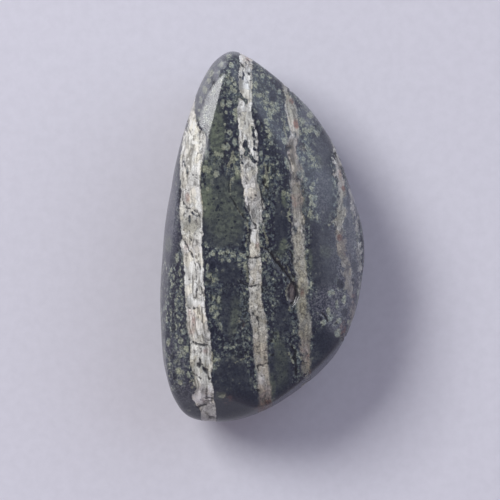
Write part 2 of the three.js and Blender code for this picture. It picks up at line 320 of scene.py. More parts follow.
# Cracks: width in pixels, depth in hundredths of a mm, x and y of the start, and the steps.
CRACKS = [
    (1.4, 6, 197, 122, 0.4, 6), (1.6, 7, 192, 176, 2.6, 0.4), (1.2, 5, 196, 186.6, 5, -0.2),
    (1.6, 7, 184.6, 190, 4.8, 0.4), (1.4, 6, 180.8, 190, -0.2, 12), (1.4, 6, 184, 203, 4, 6),
    (2.2, 10, 186.8, 208, 4.8, 1.4, 4.8, 2, 3.2, 3.2, 1, 3.8), (1.3, 5, 185, 214, 0.2, 4),
    (1.3, 5, 197, 220, 0.2, 4), (1.7, 7, 185, 241, 3, 6, 3, 5.6, 3.4, 5.4),
    (1.1, 5, 195.6, 262, 1.2, 16, 0.2, 17), (1.1, 5, 198.8, 254, 1.6, 16), (1.3, 6, 201.4, 281, 1.2, 11),
    (1, 4, 186, 297, 11, 0), (1, 4, 199.6, 293.6, 5.4, -0.2), (1.8, 8, 182.6, 309.8, 5.4, -2.2, 9, -0.4),
    (0.8, 4, 197, 307.2, 9, 0.6), (1.1, 4, 202.6, 310, -0.2, 13),
    (2.6, 12, 193.6, 341.6, 4.4, 2.4, 8, -0.4, 5.4, 1.4), (2, 8, 200, 357, 2.4, 6, 2.4, 5),
    (2, 8, 205, 369, 3, 5, 2, 4), (1.2, 5, 193, 372, 5, 3, 6, 4), (1.1, 5, 206.4, 388, 0.2, 8),
    (1.1, 5, 204.6, 397.2, 8.4, 0.2), (1.2, 6, 204.6, 400.6, 8.4, -0.4), (2, 8, 199, 406.4, 7, -2),
    (1.1, 4, 209, 417, 5.4, -0.2), (1.5, 8, 241, 64.6, 4.4, 4.4), (1.4, 5, 245.6, 83.6, 3.8, 0),
    (1.2, 5, 248.4, 60, 2, 5), (1.8, 7, 248.4, 204, 1, 10, 3, 8, 3.6, 5), (1.3, 5, 259.6, 222.6, 4.4, -0.4),
    (2.4, 10, 256, 228, -5.4, 3.4, -1, 6.6, -0.2, 6), (2, 9, 246.6, 257, 5.4, 1.6, 8.8, -1.8),
    (1.9, 8, 240.6, 281, 3.4, 3, 7.6, 2, 4.4, -1.4), (1.3, 5, 252, 312, 4.4, 4.6, 2, 4.4, 1.2, 6),
    (1.3, 5, 257.6, 320, 0.2, -4), (2, 9, 256.4, 365.4, 3.6, -2, 3, 1, 2.6, -2, 3.8, -0.4),
    (1.5, 6, 256.6, 366, 1.8, 4), (1.5, 6, 261.6, 375, 2.8, -1), (2.4, 8, 256, 389, 4, 0.6),
    (2, 8, 262.4, 183, 1.6, 3, 3, 2.6, 1.4, 4.4), (1.5, 5, 260.6, 193, 1.4, 9, 0.6, 8),
    (2.8, 18, 265.7, 249.3, 4.5, 3.9, 2.7, 4.7, 2.5, 3.7), (6, 26, 276.8, 263, 3.2, 3.2, 2.4, 3.4),
    (3.8, 20, 282.2, 268.6, 3.2, 4.8, 3.4, 5, 2.6, 3.2), (1.8, 8, 289.6, 251, 2.2, 4, 0, 7),
    (3, 10, 292.4, 273.6, 0.6, 3.4),
    (3.4, 36, 293.2, 282, 2.6, 4, 0.8, 4.6, -0.6, 5.4, -1.6, 4.6, -2.8, 3.4),
    (1.6, 10, 290.6, 283.6, -2.4, 4, -0.4, 5.4, 1, 6), (1.2, 5, 229.8, 180, -1.4, 7.5, 1, 6.5),
    (1.3, 6, 231.4, 198.6, 3.6, 5.6, 3.2, 6.6, 5.4, 6.7, 4.8, 4.9), (1.6, 6, 261.6, 286, 0.4, 6),
    (2.4, 10, 285.8, 149.6, 3.2, -1, 3, -0.8), (1.6, 6, 286.4, 150, 1, 8, 3, 8), (2, 10, 301.6, 148, 3, -2),
    (2.2, 8, 291, 345.6, 3.4, 4.4, 0, 7, 1, 7, 0, 11), (1.6, 6, 293, 355, -0.6, 4),
    (2.2, 8, 320.6, 312.6, 4, 3.8, 2.4, 4), (2.2, 8, 330.6, 320.6, 4.4, 2.4),
    (1.2, 5, 334.6, 152.6, 3.8, 8.4, 3.4, 8, 2, 9), (1, 12, 199.4, 131.4, 1.2, 2.2),
    (1.6, 6, 245.6, 352, 0.4, 4), (1.6, 6, 287, 354.4, 1.4, 1), (1.2, 5, 276.4, 262.4, -2.2, 3.2, 0.8, 4.4),
    (1.3, 6, 282.6, 269.4, 3, -2, 3.4, 0.8), (1.4, 6, 270.2, 253.2, -2.2, 3.2),
    (1.2, 5, 287.4, 276.4, -2.8, 3),
]

# Pits: middle and half-widths in pixels, depth in hundredths of a mm.
PITS = [
    (197, 242, 1.4, 1.4, 8), (199.2, 364, 2.2, 2.2, 20), (206.2, 369.6, 2.2, 2.8, 20),
    (249.6, 75, 1.4, 2.2, 14), (240.6, 79, 1.4, 1.4, 8), (200.2, 132.6, 0.9, 1.8, 6),
    (267.6, 321.6, 1.4, 1.1, 8), (271, 340, 1.8, 1.6, 8), (191, 240, 1.2, 1, 5), (190, 279.6, 1.2, 1, 5),
    (197.2, 289.6, 1.2, 1, 5), (335.6, 153, 2.2, 1.4, 16), (291.6, 90.4, 2.6, 1.2, 14),
    (212.2, 381, 1.3, 1.3, 5), (343.4, 337.4, 3.4, 1.6, 16), (250.8, 82.2, 1, 0.8, 4),
    (255.6, 195.6, 1, 1.2, 5), (227, 254, 1.6, 1.2, 5), (267.4, 170.6, 1.2, 3, 5), (265, 182, 1.2, 2, 5),
    (272.6, 354, 1.4, 1.4, 5),
]
CAVITY = (291.6, 292.8, 5.4, 10.6)  # the broken-out hollow beside the beige seam
CAVITY_DEPTH = 0.42

# Single grains and blots that stand out: middle and half-widths in pixels.
PALE_GRAINS = [
    (229, 84, 2.6, 3.8), (235, 86, 1.8, 2.6), (235, 93, 2.4, 3.2), (231, 92, 1.6, 2.4), (229, 105, 3, 4.4),
    (235, 115, 1.8, 3.4), (235, 121, 2.6, 2.8), (226, 114, 1.6, 2.4), (226, 133, 1.8, 2.4),
    (225, 126, 1.6, 2), (232, 67, 3, 3.4), (221, 253, 2.2, 2.2), (229, 261, 2.6, 2.2), (241, 255, 2.6, 2.8),
    (213, 254, 2.4, 2.2), (208, 267, 2, 4), (234, 161, 2.4, 5), (187, 348, 2.6, 3.6), (179, 370, 2.6, 3.6),
    (181, 381, 2.6, 2.8), (181, 355, 2, 2.4), (171, 363, 2, 2.6), (177, 346, 1.6, 4), (222, 395, 3.6, 2.2),
    (226, 346.5, 2.4, 1.6), (213, 298, 2.4, 3), (219, 299, 2.6, 3.4), (216, 307, 2.4, 2.8),
    (221, 325, 2.4, 4), (208, 190, 2, 3), (217, 155, 3.6, 2.8), (206, 168, 3.4, 2.6), (205, 209, 1.8, 3),
    (302, 122, 3, 4.6), (310, 115.6, 4, 4), (304, 131, 3, 2.6), (311, 131, 3, 2.6), (308, 154, 3.4, 3.2),
    (303, 160, 3, 2.6), (306, 180, 2, 2.4), (315, 198, 2, 3.4), (314, 206, 2.6, 2), (309, 215, 3, 5),
    (330, 317, 3, 4.6), (323, 322, 3.4, 3.6), (270, 136, 2.6, 3.2), (236.2, 169, 2.8, 2.8),
    (329, 293, 2.2, 4), (308.4, 132, 3.4, 2.2), (285.4, 162, 2.2, 5), (222, 156, 3, 3), (207.4, 155, 3, 5),
    (208.4, 171.4, 3.4, 3.6), (228.4, 148, 2.6, 4.4), (266.6, 182, 3, 5), (284, 142.4, 2.8, 4),
    (287.4, 166, 2, 5), (189, 374, 2.4, 4), (217, 175, 3.4, 4), (178, 258, 2.2, 5), (181, 340, 3, 4),
    (184, 331, 3, 3.6), (223, 106, 2.2, 5), (351, 194, 2.4, 5), (169, 341, 2, 5), (229, 57, 3, 3),
    (257.4, 124, 1.8, 4), (222, 66, 2.6, 4), (235, 143, 2.6, 5), (224, 148, 3, 4), (230, 134, 2.6, 3.6),
    (204.4, 171, 2, 4), (203.4, 186, 1.6, 3), (205.4, 91, 3, 5), (212, 74.4, 2.6, 4), (219.6, 67, 2.4, 2.4),
    (209.4, 82, 2, 3.4), (201.4, 101, 1.6, 4.6), (332, 292, 2.6, 3.4), (327.6, 311, 2.6, 4),
    (336.4, 304, 1.8, 6), (344, 299, 2.4, 5), (358, 292, 2, 4), (338, 320, 3, 3), (349, 322, 3, 3),
    (262, 77, 2.4, 3), (259, 97, 3.6, 3), (269, 116, 2.6, 4), (279, 93, 2.6, 3), (261, 155, 2.4, 3.6),
    (307, 287, 3, 2.4), (337, 332, 3.6, 5), (343, 300, 2.4, 4), (211, 276, 2.4, 4.4),
]
DARK_BLOTS = [
    (203.4, 176.6, 1.8, 2.6), (201, 183, 1.6, 2), (206, 185, 1.4, 2), (218, 188, 1.8, 2.4),
    (221, 192.6, 2.8, 1.2), (214.6, 199.4, 1.8, 1.4), (222.4, 203.6, 3.4, 1.4), (218, 207, 1.6, 2.4),
    (217, 211, 1.4, 2), (222, 212, 1.2, 1.2), (219, 220.5, 1.4, 1.2), (217, 180, 1.2, 1.2),
    (235, 222, 1.6, 1.6), (243, 248, 2.2, 4), (213, 265, 3, 4.6), (211.6, 279, 1, 3.4), (231, 166, 1.2, 4),
    (234, 160, 0.8, 3.4), (268, 118, 1, 1.4), (283, 130, 2, 3), (305, 166, 1.8, 2.2), (308, 176, 3.4, 2.6),
    (311, 208, 1.6, 3.4), (204, 150, 1.6, 3), (187, 393, 2, 2.6), (179, 392, 2.6, 2), (227, 237, 2, 1.4),
    (232, 228, 1.6, 1.6), (213, 330, 2, 4), (220, 341, 3, 2), (208, 345, 2, 1.2), (215.6, 78, 2.4, 3),
    (211, 91, 1.6, 3), (204, 105, 1.8, 4), (198.6, 100, 1.6, 4), (224.6, 61, 3, 2.6), (340, 284, 4, 5),
    (354, 266, 3, 7), (353, 282, 2.6, 5), (344, 312, 3.4, 5), (174, 327, 2.6, 5), (173, 356, 2.4, 4),
    (231, 77, 2, 2.6), (175, 375, 2.6, 5), (211.4, 296, 1.8, 6), (233, 351, 3, 4), (347, 204, 1.8, 4),
    (333, 200, 2, 5), (346, 222, 1.4, 4), (358, 226, 1.6, 4), (361, 242, 1.4, 5), (361, 262, 1.4, 4),
    (272, 100, 3, 4), (256, 128, 2.6, 4), (262, 126, 2, 3), (276, 143, 4, 2.4), (320, 318, 1.6, 2.4),
]

# Places with a look of their own: middle and half-widths in pixels, and strength where it isn't 10 out of 10.
MARKS = {
    "smooth": [  # few grains
        (219, 208, 19, 38), (211, 166, 10, 12, 4.5), (220, 230, 22, 18), (236, 222, 9, 26),
        (281, 224, 7, 36, 8), (232, 384, 20, 30), (218, 128, 9, 30), (279, 372, 12, 36, 9),
        (277, 250, 6, 16, 3), (323, 258, 15, 34), (323, 150, 9, 16), (325, 192, 8, 36, 7),
        (326, 340, 13, 15), (172, 250, 7, 17, 9), (349.6, 230, 4, 24, 9), (229, 272, 14, 13, 7),
        (318, 362, 18, 16, 8), (182, 402, 14, 14, 8), (282, 320, 10, 22, 6), (230, 310, 12, 34, 6),
        (206, 325, 2, 26, 6), (237.6, 196, 6, 22, 9), (167, 215, 4, 34, 6), (238, 405, 26, 18, 9),
        (190, 412, 12, 10, 7),
    ],
    "olive": [
        (206, 172, 9, 12), (207, 200, 7, 20), (218, 158, 9, 10, 8), (226, 212, 20, 34, 5), (234, 163, 5, 10),
        (236, 174, 5, 8, 9), (259, 92, 9, 12, 9), (268, 108, 8, 10, 7), (269, 122, 7, 10, 6),
        (270, 136, 5, 6, 8), (266, 190, 6, 14, 9), (271, 172, 6, 8, 7), (308, 215, 6, 12, 8),
        (305, 200, 5, 10, 8), (313, 165, 9, 10, 7), (303, 125, 9, 14, 6), (215, 302, 7, 11, 8),
        (212, 278, 6, 9), (217, 138, 9, 30, 8), (213, 356, 5, 7), (222, 395, 6, 4), (244, 312, 5, 22, 9),
        (275, 338, 4, 9), (293, 307, 5, 5), (168, 243, 5, 9), (180, 368, 7, 14, 8), (207, 88, 9, 20, 8),
        (197, 112, 5, 9, 4), (307, 262, 5, 14, 7), (276, 254, 7, 5, 8), (265, 183, 5, 7, 9),
        (285, 198, 4, 9), (284, 246, 5, 7, 9), (326, 252, 7, 6, 3), (267, 287, 7, 8, 4),
        (186, 350, 8, 12, 5), (272, 385, 4, 12, 6), (239, 340, 12, 20, 3), (238, 316, 8, 22, 5),
        (281, 363, 7, 25, 5), (286, 94, 4, 5, 8), (308, 122, 9, 12, 5),
    ],
    "navy": [  # dark ground, whose grains are smaller
        (229, 118, 6, 20), (229, 152, 5, 16, 9), (258, 116, 6, 10), (260, 134, 6, 10), (272, 97, 4, 8),
        (280, 88, 6, 5, 8), (277, 126, 6, 10, 7), (262, 148, 8, 9, 8), (276, 152, 9, 8, 7),
        (214, 266, 8, 10), (232, 293, 10, 20, 4), (207, 298, 3, 20), (286, 167, 5, 24, 7),
        (274, 238, 8, 16, 6), (287, 226, 4, 12, 8), (281, 292, 6, 14, 8), (326, 340, 12, 14),
        (314, 232, 5, 12, 6), (310, 172, 5, 6, 7), (237, 152, 4, 5, 8), (250, 400, 8, 14, 9),
        (288, 346, 3, 8, 8), (232, 372, 11, 12, 5), (178, 232, 4, 26, 5), (226.6, 156, 3, 8, 9),
        (312, 330, 6, 12, 7), (213, 336, 6, 14, 5), (281, 372, 10, 24, 5), (203, 180, 5, 8, 7),
        (333, 358, 8, 10, 6), (165, 290, 3.4, 14, 5), (313, 165, 5, 6, 5), (290, 296, 7, 14, 7),
        (305, 137.6, 4, 2.2), (312, 136, 4, 2.6), (237, 405, 26, 20), (298, 388, 24, 14, 8),
    ],
    "grainy": [  # large pale grains
        (232, 100, 6, 42), (262, 86, 9, 26), (270, 112, 12, 26), (262, 98, 12, 8), (285, 198, 4, 9, 8),
        (284, 246, 5, 7, 8), (284, 128, 6, 24), (306, 122, 10, 26, 9), (311, 166, 12, 26, 9),
        (313, 205, 8, 28, 5), (226, 70, 10, 14, 8), (224, 254, 22, 8, 6), (214, 285, 9, 36, 7),
        (212, 70, 10, 14, 6), (178, 360, 12, 26, 6), (215, 350, 7, 20, 5), (266, 160, 8, 24, 7),
        (278, 160, 8, 30, 5), (328, 316, 10, 10, 6), (172, 215, 6, 30, 3), (204, 90, 8, 24, 5),
        (222, 391, 11, 12, 6), (262, 292, 8, 9, 3), (307, 285, 5, 12, 5), (237, 165, 6, 14, 6),
    ],
    "faint": [  # a pale bluish haze painted over the grains as painted reflection, so they show little contrast
        (332, 304, 24, 20, 8), (349, 262, 14, 44, 7), (352, 212, 8, 36, 7), (322, 190, 8, 30, 5),
        (334, 250, 6, 30, 4), (310, 112, 14, 20, 4), (336, 318, 16, 14, 6), (170, 212, 10, 46, 8),
        (204, 90, 8, 20, 5), (216, 64, 9, 9, 4), (184, 392, 12, 12, 5), (176, 362, 12, 30, 4),
    ],
    "pink": [  # reddish-brown stains, mostly in the seams
        (188, 198, 2.4, 5.4, 6), (190, 312, 2, 5, 3.5), (194, 322, 2.6, 12, 5), (187, 247, 2.4, 3, 5),
        (192, 331, 2.6, 3, 5), (203, 400, 3, 2.4, 3.5), (206, 350, 3, 3, 4), (248, 60, 2.4, 3, 6),
        (291, 102, 2.4, 2.6, 11), (296, 124.6, 2.4, 4.4, 15), (294, 204, 3, 5, 7), (292, 198, 2, 4, 5),
        (343.2, 188, 1.8, 2.4, 15), (339.4, 238, 2.8, 3, 18), (344.8, 252.6, 1.6, 2, 13),
        (340, 174, 3, 6, 5), (342, 330, 3.4, 9, 11), (353, 300, 2, 10, 8), (345, 252.6, 2.4, 1.6),
        (268, 402, 4, 3, 12), (303, 349, 4, 5, 4), (307, 354, 1.6, 1.6, 9), (302, 292, 2, 5, 7),
        (257, 246, 2.4, 4, 5), (241, 325, 4, 6, 6), (228, 398, 5, 5, 5), (302, 148, 4, 5, 3),
        (310, 371, 1.6, 3, 7), (261, 408, 8, 3, 9),
    ],
    "dull": [  # grey-green, in the seams
        (184, 140, 3, 8, 7), (187, 152, 4, 10, 4), (191, 146, 3, 8, 3), (183, 160, 3, 8, 3),
        (187, 166, 3, 6, 3), (190, 182, 8, 4, 2), (191, 226, 10, 8, 6), (197, 222, 4, 5, 4),
        (182, 254, 3, 8, 7), (192, 240, 4, 3, 3), (189, 302, 4, 5), (203, 363, 4, 6), (187, 270, 3, 8, 4),
        (195, 367, 5, 6, 4), (205, 350, 4, 6, 3), (194, 376, 4, 5, 5), (196, 385, 5, 8, 4),
        (206, 380, 3, 8, 3), (208, 414, 8, 8, 4), (247, 113, 5, 4, 3), (258.4, 186, 2.8, 15),
        (250, 122, 4, 6, 3), (245, 158, 4, 4, 5), (252, 172, 4, 6, 4), (250, 116, 3, 4, 6),
        (256, 214, 6, 8, 4), (254, 303, 6, 5, 3), (262, 318, 5, 4, 4), (289, 104, 4, 4, 3),
        (291, 116, 4, 4, 2), (296, 172, 5, 10, 4), (296, 190, 6, 6, 4), (298, 212, 4, 8, 5),
        (298, 256, 4, 6, 2), (303, 318, 5, 8, 3), (304, 370, 5, 10, 4), (338, 196, 4, 8, 4),
        (339, 218, 4, 8, 4), (341, 258, 4, 8, 4), (348, 290, 4, 12, 5),
    ],
    "fibrous": [  # the seams' long fibres show
        (293, 110, 8, 30, 5), (291, 155, 8, 22, 9), (297, 215, 8, 26, 3.5), (200, 385, 10, 16, 8),
        (195, 278, 12, 34), (191, 196, 12, 16, 6), (188, 145, 11, 36, 9), (246, 90, 8, 16, 9),
        (198, 322, 12, 20, 9), (254, 236, 6, 12, 9), (205, 365, 8, 20, 6), (208, 396, 9, 14, 4),
        (247, 140, 9, 22, 4),
    ],
    "broken": [  # the ground shows through the seams
        (296, 184, 9, 22, 3), (294, 149, 9, 9, 5), (286, 92, 6, 8, 4), (304, 366, 9, 20, 6),
        (193, 380, 6, 14, 5), (258, 218, 8, 8, 3), (302, 300, 8, 14, 3), (248, 150, 8, 8, 3),
        (297, 205, 9, 44, 2.2),
    ],
    "matt": [  # a duller polish, with a pale painted sheen laid over its colour
        (204, 86, 8, 22, 11), (198, 104, 8, 16, 11), (216, 64, 10, 8, 8), (216.4, 76, 3.4, 7, 16),
        (222.6, 66, 5, 5, 12), (307, 115, 7, 14, 5), (206, 148, 3.6, 12, 9), (350, 226, 10, 40, 5),
        (355, 290, 9, 40, 5), (340, 318, 12, 18, 2), (320, 148, 10, 14, 2.5),
    ],
    "fleck": [  # white, painted as highlight where the fibres catch the light; the flecks also stand up a little
        (200, 396, 4, 6), (196, 290, 3, 5, 6), (200, 303.6, 5, 3, 8), (196.6, 194, 3.4, 6, 9),
        (198.4, 207, 3, 7, 9), (182.4, 212, 1.8, 3, 8), (196, 302, 3.4, 3.6, 9), (201.6, 247, 2, 8, 7),
        (188, 285, 2.6, 14, 6), (191, 265, 4, 8, 5), (209.6, 334, 1.8, 2), (192.4, 355.6, 2.8, 2.6, 8),
        (204, 358, 2.4, 7, 7), (210, 389, 2, 6, 9), (196, 399, 2.6, 5, 9), (192, 125, 1.8, 6, 8),
        (241, 60, 2.6, 4, 9), (247, 92, 2.4, 7, 8), (243, 104, 1.6, 2, 5), (254, 237, 2.2, 6),
        (246.4, 194, 1.6, 7, 9), (252.4, 251, 2.6, 4, 6), (289.4, 162, 1, 3.4, 13),
        (292.4, 168.6, 1.4, 3, 16), (295, 225, 1.4, 1.8), (289.4, 152.6, 2, 2.6, 9), (300, 219, 1.4, 6, 7),
        (260.6, 380, 2, 4, 9), (258.4, 386, 1.4, 3, 7), (289.6, 139, 2, 2, 5), (284.8, 90.6, 1.2, 1.4, 12),
        (297.9, 291, 1.4, 2.6, 16), (256.6, 337, 1.6, 4, 4), (291.4, 201.6, 1.4, 3, 6),
        (186.4, 137, 2, 6, 5), (206.4, 325, 1.6, 6, 3), (201.6, 323, 2, 6, 4), (195.6, 131.6, 1.6, 3, 5),
        (246, 260, 1.4, 2, 3), (257.6, 226, 2, 2, 8), (211, 329, 1.4, 3, 3),
    ],
}
STREAKS_RIGHT = (180, 190)  # streaky ground only left of here, fading between the two, and
STREAKS_TOP = (240, 270)  # only below here


WOBBLE = 0.9  # how far the markings' edges wander, in pixels

# How far the surface is cut in or wanders, in mm.
SEAM_DEPTH = 0.05
FIBRE_RELIEF = 0.012
LUMP_RELIEF = 0.045
POLISH_RELIEF = 0.006


def ripple(points, size, start):
    """Smooth noise between about -1 and 1, with lumps of that size in mm."""
    shift = Vector((start, 2 * start, 3 * start))
    return np.array([noise.noise(Vector(p) / size + shift) for p in points])


def fade(values, low, high):
    """0 below low, 1 above high and a smooth change between."""
    t = np.clip((values - low) / (high - low), 0, 1)
    return t * t * (3 - 2 * t)


def line_distance(places, corners):
    """How far each place is from a line, given as its start and then a step to each next corner."""
    corners = np.cumsum(np.reshape(corners, (-1, 2)), axis=0)
    nearest = np.full(len(places), np.inf)
    for start, end in zip(corners[:-1], corners[1:]):
        run = end - start
        along = np.clip((places - start) @ run / (run @ run), 0, 1)
        nearest = np.minimum(nearest, np.hypot(*(places - start - along[:, None] * run).T))
    return nearest


def oval(places, x, y, half_width, half_height):
    """1 in the middle of an oval, 0 on its edge, negative outside."""
    return 1 - np.hypot((places[:, 0] - x) / half_width, (places[:, 1] - y) / half_height)


def line_field(places, on_top, lines, far=-1.0):
    """How many mm inside the nearest line each place is, or far when it isn't near one on top."""
    level = np.full(len(places), far)
    for width, *corners in lines:
        inside = (width / 2 - line_distance(places, corners)) * PIXEL
        level = np.maximum(level, np.where(on_top, inside, far))
    return level


def oval_field(places, on_top, ovals):
    """How far each place is inside any of the ovals: 1 in its middle, 0 on its edge, -1 elsewhere."""
    level = np.full(len(places), -1.0)
    for shape in ovals:
        level = np.maximum(level, np.where(on_top, oval(places, *shape), -1))
    return level


def soft_ovals(places, ovals):
    """How strongly the places lie in any of the ovals, mostly from 0 to 1."""
    total = np.zeros(len(places))
    for row in ovals:
        *shape, strength = (*row, 10)[:5]
        total = np.maximum(total, strength / 10 * fade(oval(places, *shape), -0.35, 0.45))
    return total


def seam_fields(places, points):
    """For each place: mm inside the nearest seam's edge, mm right of its middle, its colour and breaks."""
    x = places[:, 0] - SEAM_LEAN * np.maximum(WAIST_HEIGHT - points[:, 2], 0) / PIXEL
    wander = ripple(points * (1, 0.6, 0.6), 0.55, 5.2) + 0.7 * ripple(points, 0.25, 3.3)
    nearest = np.full((6, len(places)), -np.inf)
    for rows, raggedness, breaks in SEAMS:
        y, *columns = np.array([(*row, 0, 0)[:6] for row in rows]).T
        left, width, *colour = (np.interp(places[:, 1], y, column) for column in columns)
        offset = x - left - width / 2
        margin = (width / 2 - np.abs(offset)) * PIXEL + raggedness * wander
        fields = np.stack([margin, offset * PIXEL, *np.divide(colour, 10), np.full(len(places), breaks)])
        nearest = np.where(margin > nearest[0], fields, nearest)
    return nearest


def cut_fields(straight, wobble, on_top, top, points):
    """The cracks and pits, as mm inside the nearest, and how deep the surface is cut there."""
    depth = np.zeros(len(points))
    crack = np.full(len(points), -1.0)
    tremble = np.stack([ripple(points, 0.28, 2.2), ripple(points, 0.28, 6.1)], 1)
    waver = np.clip(0.9 + 0.8 * ripple(points, 0.4, 7.7), 0.6, 1.4)
    for width, deep, *corners in CRACKS:
        away = line_distance(straight + 0.45 * wobble + 1.3 * tremble, corners)
        half = width / 2 * waver
        crack = np.maximum(crack, np.where(on_top, (half - away) * PIXEL, -1))
        depth = np.maximum(depth, deep / 100 * top * fade(-away, -half - 1.1, -0.2))
    places = straight + WOBBLE * wobble
    for *shape, deep in PITS:
        inside = oval(places, *shape)
        crack = np.maximum(crack, np.where(on_top, inside * min(shape[2:]) * PIXEL, -1))
        depth = np.maximum(depth, deep / 100 * top * fade(inside, -0.7, 0.6))
    return crack, depth


def surface_fields(points):
    """Every marking as a number at each point of the surface, and how deep the surface is cut there."""
    wobble = np.stack([ripple(points, 0.9, 3.1) + 0.6 * ripple(points, 0.35, 9.2),
                       ripple(points, 0.9, 5.7) + 0.6 * ripple(points, 0.35, 7.4)], 1)
    straight = np.stack([points[:, 0] / PIXEL + ORIGIN_X, ORIGIN_Y - points[:, 1] / PIXEL], 1)
    places = straight + WOBBLE * wobble
    top = fade(points[:, 2], WAIST_HEIGHT - 1.5, WAIST_HEIGHT - 0.5)
    on_top = top > 0.5

    seam, offset, pale, pink, olive, broken = seam_fields(straight + 0.4 * wobble, points)
    seam = np.minimum(seam, -line_field(places, on_top, GAPS, -np.inf))
    crack, depth = cut_fields(straight, wobble, on_top, top, points)
    hollow = top * fade(oval(places, *CAVITY), -0.1, 0.22)
    slant = fade(places[:, 0], CAVITY[0] - CAVITY[2], CAVITY[0] + CAVITY[2])
    depth = np.maximum(depth, CAVITY_DEPTH * hollow * (0.35 + 0.65 * slant))

    stretched = np.stack([offset / 0.16, points[:, 1] / 1.3, points[:, 2] / 1.3], 1)
    fibres = ripple(stretched, 1, 1.7) + 0.5 * ripple(stretched * (2.1, 1.7, 1.7), 1, 4.3)
    in_seam = fade(seam, -0.05, 0.15)
    lumps = ripple(points * (1, 0.7, 0.7), 0.42, 8.8)
    depth += in_seam * (SEAM_DEPTH + FIBRE_RELIEF * fibres + LUMP_RELIEF * lumps)
    depth += POLISH_RELIEF * (1 + ripple(points, 1.1, 6.6))

    fields = {name: top * soft_ovals(places, ovals) for name, ovals in MARKS.items()}
    fields["pink"] = np.maximum(pink * 0.6 * in_seam, fields["pink"])
    fields["olive"] = in_seam * olive + (1 - in_seam) * fields["olive"]
    fields["broken"] = np.maximum(broken, fields["broken"])
    streaky_x = 1 - fade(places[:, 0], *STREAKS_RIGHT)
    fields |= {
        "seam": seam,
        "offset": offset,
        "pale": pale,
        "streaky": top * streaky_x * fade(places[:, 1], *STREAKS_TOP),
        "strand": line_field(places, on_top, STRANDS),
        "silk": line_field(places, on_top, SILK_HIGHLIGHTS),
        "grain": oval_field(places, on_top, PALE_GRAINS),
        "blot": oval_field(places, on_top, DARK_BLOTS),
        "crack": crack,
        "hollow": hollow,
    }
    return np.maximum(depth, 0), fields


# ----------------
# Materials.


def tone(*screen):
    """A colour written in screen values from 11 to 255, in the linear values that a shader takes."""
    return (*(((value / 255 + 0.055) / 1.055) ** 2.4 for value in screen), 1)


class Wire:
    """The output of a shader node. What is done with it adds the nodes that work it out."""

    def __init__(self, add, socket):
        self.add = add
        self.socket = socket

    def __add__(self, other):
        return self.add("Math", self, other, operation="ADD")

    def __sub__(self, other):
        return self.add("Math", self, other, operation="SUBTRACT")

    def __mul__(self, other):
        return self.add("Math", self, other, operation="MULTIPLY")

    def fade(self, low, high, start=0, end=1):
        """start below low, end above high and a smooth change between."""
        return self.add("MapRange", self, low, high, start, end, interpolation_type="SMOOTHSTEP")

    def dim(self, factor):
        """A colour made darker or lighter by a factor."""
        return self.add("VectorMath", self, None, None, factor, operation="SCALE")

    def scaled(self, *scale):
        return self.add("VectorMath", self, scale, operation="MULTIPLY")

    def moved(self, shift):
        return self.add("VectorMath", self, shift, operation="ADD")

    def noise(self, size, detail=2, roughness=0.5, output="Fac"):
        """Soft noise between 0 and 1 at this place, with lumps of that size."""
        return self.add("TexNoise", self, None, 1 / size, detail, roughness, output=output)

    def cells(self, size, feature="F1", output="Distance"):
        return self.add("TexVoronoi", self, None, 1 / size, feature=feature, output=output)

    def bent(self, reach):
        """The place moved about by soft noise, so that round cells become irregular."""
        bend = self.noise(BEND_SIZE, output="Color").moved((-0.5, -0.5, -0.5))
        return self.moved(bend.scaled(2 * reach, 2 * reach, 2 * reach))

    def grains(self, size, spread):
        """Above 0 inside roundish grains of about that size; a grain's own lot makes it larger or smaller."""
        lot = self.add("SeparateColor", self.cells(size, output="Color"))
        return (lot - 0.5) * spread - self.cells(size)


class Nodes:
    """The nodes of one tree."""

    def __init__(self, tree):
        self.tree = tree

    def put(self, socket, value):
        if isinstance(value, Wire):
            self.tree.links.new(value.socket, socket)
        else:
            socket.default_value = value

    def add(self, kind, *values, output=0, **settings):
        """A new node, with its inputs in their own order. Those given as None are left as they are."""
        node = self.tree.nodes.new("ShaderNode" + kind)
        for name, value in settings.items():
            setattr(node, name, value)
        for socket, value in zip(node.inputs, values):
            if value is not None:
                self.put(socket, value)
        return Wire(self.add, node.outputs[output])

    def values(self, names):
        """The mesh's own values with those names."""
        return [self.add("Attribute", attribute_name=name, output="Fac") for name in names.split()]

    def blend(self, share, under, over, kind="MIX"):
        """One colour over another."""
        inputs = (share, *[None] * 5, under, over)
        return self.add("Mix", *inputs, data_type="RGBA", blend_type=kind, output=2)

    def layers(self, colour, *layers):
        """A colour with others laid over it in turn, each given as its share and itself."""
        for share, over in layers:
            colour = self.blend(share, colour, over)
        return colour


# Sizes of grains and noises in mm.
BEND_SIZE = 0.45
LARGE_GRAIN = 0.6
SMALL_GRAIN = 0.28
WORM = 0.24
GROUND_CREASE = 0.5
SEAM_LUMP = 0.6
FIBRE_WIDTH = 0.2
FIBRE_LENGTH = 1.5


